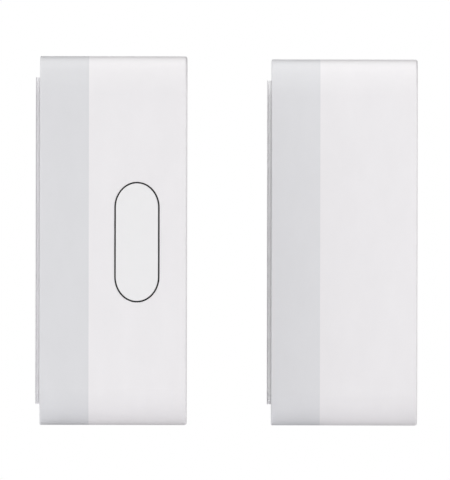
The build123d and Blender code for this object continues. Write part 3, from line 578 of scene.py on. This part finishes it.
# solder: fillets at the chip ends, mounds at the contact tails, and round the pins behind the board
bm = bmesh.new()
for parts, length, height in ((CAPS, 1.6, 0.42), (RESISTORS, 1.5, 0.26)):
    for d, z in parts:
        for s in (-1, 1):
            ramp(bm, d, z + s * (length / 2 + e), s, 0.78, 0.30, height)
lo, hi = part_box("reservoir_capacitor")
for s, z_end in ((-1, lo.z / MM), (1, hi.z / MM)):
    ramp(bm, -(lo.y + hi.y) / 2 / MM, z_end, s, 1.9, 0.45, 0.75)
for d in (13.4, 20.8):
    dome(bm, BOARD_X, d, 25.7, -1, 1.55, 0.75, 0.32)
sw_lo, sw_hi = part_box("switch_body")
sw_d, sw_z = -(sw_lo.y + sw_hi.y) / 2 / MM, (sw_lo.z + sw_hi.z) / 2 / MM
for sy in (-1, 1):
    for sz in (-1, 1):
        dome(bm, BACK_X, sw_d + sz * 2.25, sw_z + sy * 3.2, 1, 0.62, 0.45, 0.22)
for z in (13.8, 29.2):
    dome(bm, BACK_X, 24.3, z, 1, 0.52, 0.52, 0.24)
    dome(bm, BOARD_X, 24.3, z, -1, 0.60, 0.60, 0.16)
# tabs of the shield, soldered down along its sides
sh_lo, sh_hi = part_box("radio_shield")
for k in range(4):
    y = sh_lo.y / MM + 2.2 + k * 2.7
    for s, z_end in ((-1, sh_lo.z / MM), (1, sh_hi.z / MM)):
        ramp(bm, -y, z_end, s, 1.3, 0.28, 0.34)
done(bm, "board_solder", M["solder"], smooth=True)

# the controller's flat leads
bm = bmesh.new()
c_lo, c_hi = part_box("controller_chip")
cy, cz = (c_lo.y + c_hi.y) / 2 / MM, (c_lo.z + c_hi.z) / 2 / MM
for k in range(8):
    t = (k - 3.5) * 0.52
    for s in (-1, 1):
        a, b = sorted((cy + s * 2.42, cy + s * 2.78))
        block(bm, (BOARD_X - 0.16, a, cz + t - 0.13), (BOARD_X - 0.005, b, cz + t + 0.13))
        a, b = sorted((cz + s * 2.42, cz + s * 2.78))
        block(bm, (BOARD_X - 0.16, cy + t - 0.13, a), (BOARD_X - 0.005, cy + t + 0.13, b))
done(bm, "controller_leads", M["tin_cap"], smooth=False)

# printed outlines on the board
bm = bmesh.new()


def outline(y0, y1, z0, z1, t=0.14, gap=0.0):
    x0, x1 = BOARD_X - 0.022, BOARD_X - 0.004
    m = (y0 + y1) / 2
    for a, b in (((y0, m - gap), (m + gap, y1)) if gap else ((y0, y1),)):
        block(bm, (x0, a, z0), (x1, b, z0 + t))
        block(bm, (x0, a, z1 - t), (x1, b, z1))
    block(bm, (x0, y0, z0 + t), (x1, y0 + t, z1 - t))
    block(bm, (x0, y1 - t, z0 + t), (x1, y1, z1 - t))


outline(sw_lo.y / MM - 0.35, sw_hi.y / MM + 0.35, sw_lo.z / MM - 0.45, sw_hi.z / MM + 0.45, gap=2.6)
outline(c_lo.y / MM - 0.5, c_hi.y / MM + 0.5, c_lo.z / MM - 0.5, c_hi.z / MM + 0.5, gap=1.9)
outline(sh_lo.y / MM - 0.5, sh_hi.y / MM + 0.5, sh_lo.z / MM - 0.5, sh_hi.z / MM + 0.5, gap=5.2)
g_lo, g_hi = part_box("reed_glass")
outline(g_lo.y / MM - 0.25, g_hi.y / MM + 0.25, g_lo.z / MM - 0.5, g_hi.z / MM + 0.5)
for z0 in (21.6, 22.2):
    block(bm, (BOARD_X - 0.022, -16.8, z0), (BOARD_X - 0.004, -15.2, z0 + 0.14))
done(bm, "board_outlines", M["board_ink"], smooth=False)

# washer and crimped rim at each cell's positive end
bm = bmesh.new()
for node, s in (("cell_rear", 1), ("cell_front", -1)):
    lo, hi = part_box(node)
    y, x = (lo.y + hi.y) / 2 / MM, (lo.x + hi.x) / 2 / MM
    z_end = (hi.z if s > 0 else lo.z) / MM - s * 0.8

    def lathe(profile, mat):
        skin(bm, [[Vector(((x + r * math.cos(a)) * MM, (y + r * math.sin(a)) * MM, (z_end + s * h) * MM))
                   for a in np.linspace(0, 2 * math.pi, 49)[:-1]] for r, h in profile], mat, False, False)

    lathe([(2.0, 0.0), (2.0, 0.10), (2.15, 0.14), (4.0, 0.10), (4.12, 0.0)], 0)
    lathe([(4.35, 0.0), (4.42, 0.12), (4.58, 0.20), (4.78, 0.20), (4.92, 0.10), (4.94, 0.0)], 1)
done(bm, "cell_end_rings", M["cell_washer"], M["cell_can"])

# soft block that steadies the rear cell
f_lo, f_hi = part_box("cell_foam_pad")
cx, cz = (f_lo.x + f_hi.x) / 2 / MM, (f_lo.z + f_hi.z) / 2 / MM
loop = rounded_outline((f_hi.x - f_lo.x) / MM, (f_hi.z - f_lo.z) / MM, 0.9, arc=10, step=0.35)
bm = bmesh.new()
rings = []
y0, y1 = f_hi.y / MM, f_lo.y / MM
for t, inset in ((0.0, 0.10), (0.06, 0.02), (0.3, 0.07), (0.6, 0.10), (0.85, 0.06), (0.95, 0.09), (1.0, 0.30)):
    ring = []
    for px, pz, nx, nz in loop:
        w = inset + 0.05 * (0.5 + 0.5 * noise.noise(Vector((px * 1.9, t * 4.0, pz * 1.9))))
        ring.append(Vector(((cx + px - nx * w) * MM, (y0 + (y1 - y0) * t) * MM, (cz + pz - nz * w) * MM)))
    rings.append(ring)
skin(bm, rings)
soft_block = done(bm, "cell_soft_block", M["cell_foam"], slot="cell_foam", body="sensor_base", node="cell_foam_pad")

# ------------------------------------------------------------------ stage
FLOOR_GLOW, KEY = 0.272, 0.15
bm = bmesh.new()
rings = []
for r in (0.02, 0.06, 0.15, 0.4, 0.9, 2.0, 4.5, 9.0):
    rings.append([Vector((0.01 + r * math.cos(a), -0.036 + r * math.sin(a), BOTTOM)) for a in np.linspace(0, 2 * math.pi, 97)[:-1]])
skin(bm, rings, close_first=True, close_last=False)
bmesh.ops.recalc_face_normals(bm, faces=bm.faces[:])
m, g, b = material("floor")
v = g.coords()
f = g.noise(v, 35.0, 4.0)
g.put(b, Base_Color=g.ramp(f, (0.3, (0.700, 0.700, 0.715)), (0.7, (0.712, 0.712, 0.727))))
g.put(b, Roughness=g.remap(f, 0.72, 0.80, 0.3, 0.7))
b.inputs["Emission Color"].default_value = (1.0, 1.0, 1.0, 1.0)
b.inputs["Emission Strength"].default_value = FLOOR_GLOW
floor = new_object("floor", bm, m)
floor.data.transform(Matrix.Identity(4))

# world: white to the camera; a soft white tent, dimmer behind the object, to everything else
world = bpy.data.worlds.new("studio")
scene.world = world
world.use_nodes = True
g = Nodes(world.node_tree)
d = g.new("ShaderNodeTexCoord").outputs["Generated"]
sep = g.new("ShaderNodeSeparateXYZ")
g.t.links.new(d, sep.inputs[0])
TENT = (1.18, 1.21, 1.325, 1.165, 1.20, 1.79, 1.25, 0.09, 0.0, 0.0)  # level every 20 degrees, from the camera's side over the top to behind
turn = g.math("ARCTAN2", sep.outputs["Z"], g.math("MULTIPLY", sep.outputs["X"], -1.0))
level = None
for i, k in enumerate(TENT):
    if k == 0.0:
        continue
    hat = g.math("MAXIMUM", g.math("SUBTRACT", 1.0, g.math("ABSOLUTE", g.math("SUBTRACT", g.math("DIVIDE", turn, math.radians(20.0)), float(i)))), 0.0)
    level = g.math("MULTIPLY", hat, k) if level is None else g.math("MULTIPLY_ADD", hat, k, level)
# the tent is a little dimmer on the side that the housings face
front = g.new("ShaderNodeMapRange", interpolation_type="SMOOTHSTEP")
g.put(front, Value=g.math("MULTIPLY", sep.outputs["Y"], -1.0))
front.inputs["From Min"].default_value, front.inputs["From Max"].default_value = 0.0, 0.72
level = g.math("MULTIPLY", level, g.math("MULTIPLY_ADD", front.outputs["Result"], -0.88, 1.0))
bg_tent = g.new("ShaderNodeBackground")
g.put(bg_tent, Color=(0.995, 0.995, 1.0, 1.0), Strength=level)
bg_white = g.new("ShaderNodeBackground")
g.put(bg_white, Color=(1.0, 1.0, 1.0, 1.0), Strength=1.0)
path = g.new("ShaderNodeLightPath")
pick = g.new("ShaderNodeMixShader")
g.t.links.new(path.outputs["Is Camera Ray"], pick.inputs[0])
g.t.links.new(bg_tent.outputs[0], pick.inputs[1])
g.t.links.new(bg_white.outputs[0], pick.inputs[2])
wo = g.new("ShaderNodeOutputWorld")
g.t.links.new(pick.outputs[0], wo.inputs["Surface"])


def area_light(name, direction, dist, size, share):
    """Soft lamp; share is the part of a white card's brightness that it gives facing it."""
    at = Vector((0.008, -0.036, 0.0)) + Vector(direction).normalized() * dist
    data = bpy.data.lights.new(name, "AREA")
    data.shape, data.size = "DISK", size
    data.energy = share * math.pi * math.pi * dist * dist
    o = bpy.data.objects.new(name, data)
    scene.collection.objects.link(o)
    o.location = at
    o.rotation_mode = "QUATERNION"
    o.rotation_quaternion = (Vector((0.008, -0.036, 0.0)) - at).to_track_quat("-Z", "Y")
    return o


el, az = math.radians(12), math.radians(64)
area_light("key", (-math.cos(el) * math.cos(az), -math.cos(el) * math.sin(az), math.sin(el)), 1.3, 0.36, KEY)
